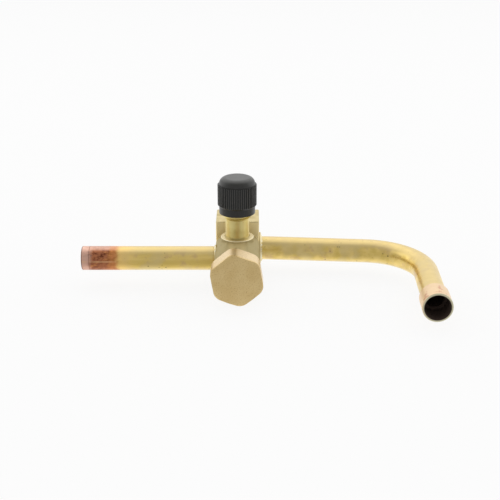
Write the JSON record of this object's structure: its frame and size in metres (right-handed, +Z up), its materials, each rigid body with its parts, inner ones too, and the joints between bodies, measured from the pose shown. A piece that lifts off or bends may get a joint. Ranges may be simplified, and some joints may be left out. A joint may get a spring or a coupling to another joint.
{
  "type": "refrigerant service valve",
  "caption": "Brass refrigerant service valve with a capped access port, a hexagon stem cap, a straight tube stub and a bent outlet tube that ends in a swaged socket.",
  "frame": {"origin": "the point where the stem axis leaves the flat rear face of the valve block", "axes": "+X towards the outlet tube, opposite to the straight tube; +Y out of the rear face, along the stem axis; +Z up, along the access port"},
  "size_m": [0.1399, 0.0663, 0.0443],
  "materials": {
    "forged_brass": "satin, as forged",
    "turned_brass": "fine turned",
    "cap_brass": "satin",
    "core_brass": "turned",
    "tube_metal": "drawn tube, bright",
    "braze_metal": "silver braze",
    "spring_steel": "plain",
    "cap_plastic": "moulded, satin",
    "seal_rubber": "plain",
    "seal_plastic": "plain"
  },
  "bodies": {
    "valve": {"valve_body": "forged_brass", "straight_tube": "tube_metal", "straight_tube_braze": "braze_metal", "bent_tube": "tube_metal", "bent_tube_braze": "braze_metal", "service_port": "turned_brass", "service_port_braze": "braze_metal", "core_barrel": "core_brass", "core_seal_ring": "seal_plastic", "core_spring": "spring_steel", "stem_retaining_ring": "spring_steel"},
    "port_cap_seal": {"port_cap_seal": "seal_rubber"},
    "port_cap": {"port_cap": "cap_plastic"},
    "stem_cap_gasket": {"stem_cap_gasket": "seal_plastic"},
    "stem_cap": {"stem_cap": "cap_brass"},
    "stem_seal": {"stem_seal": "seal_rubber"},
    "stem": {"valve_stem": "turned_brass"},
    "core_pin": {"core_pin": "core_brass", "core_cup_seal": "seal_rubber"}
  },
  "joints": [
    {"name": "port_cap_lift", "type": "slide", "parent": "valve", "child": "port_cap_seal", "axis": [0, 0, 1], "range_m": [0, 0.0113]},
    {"name": "port_cap_turn", "type": "hinge", "parent": "port_cap_seal", "child": "port_cap", "pos_m": [0, -0.0228, 0.026], "axis": [0, 0, 1], "range_deg": [0, 3150]},
    {"name": "stem_cap_lift", "type": "slide", "parent": "valve", "child": "stem_cap_gasket", "axis": [0, -1, 0], "range_m": [0, 0.0083]},
    {"name": "stem_cap_turn", "type": "hinge", "parent": "stem_cap_gasket", "child": "stem_cap", "pos_m": [0, -0.042, 0], "axis": [0, -1, 0], "range_deg": [0, 2070]},
    {"name": "stem_travel", "type": "slide", "parent": "valve", "child": "stem_seal", "axis": [0, -1, 0], "range_m": [0, 0.00305]},
    {"name": "stem_turn", "type": "hinge", "parent": "stem_seal", "child": "stem", "pos_m": [0, -0.036, 0], "axis": [0, -1, 0], "range_deg": [0, 1080]},
    {"name": "core_pin_press", "type": "slide", "parent": "valve", "child": "core_pin", "axis": [0, 0, -1], "range_m": [0, 0.0014], "stiffness_N_per_m": 1200, "springref_m": -0.0015, "deforming": ["core_spring"]}
  ],
  "couplings": [
    {"joint": "port_cap_lift", "follows": "port_cap_turn", "m_per_rad": 0.00020213},
    {"joint": "stem_cap_lift", "follows": "stem_cap_turn", "m_per_rad": 0.00022457},
    {"joint": "stem_travel", "follows": "stem_turn", "m_per_rad": 0.00015915}
  ]
}
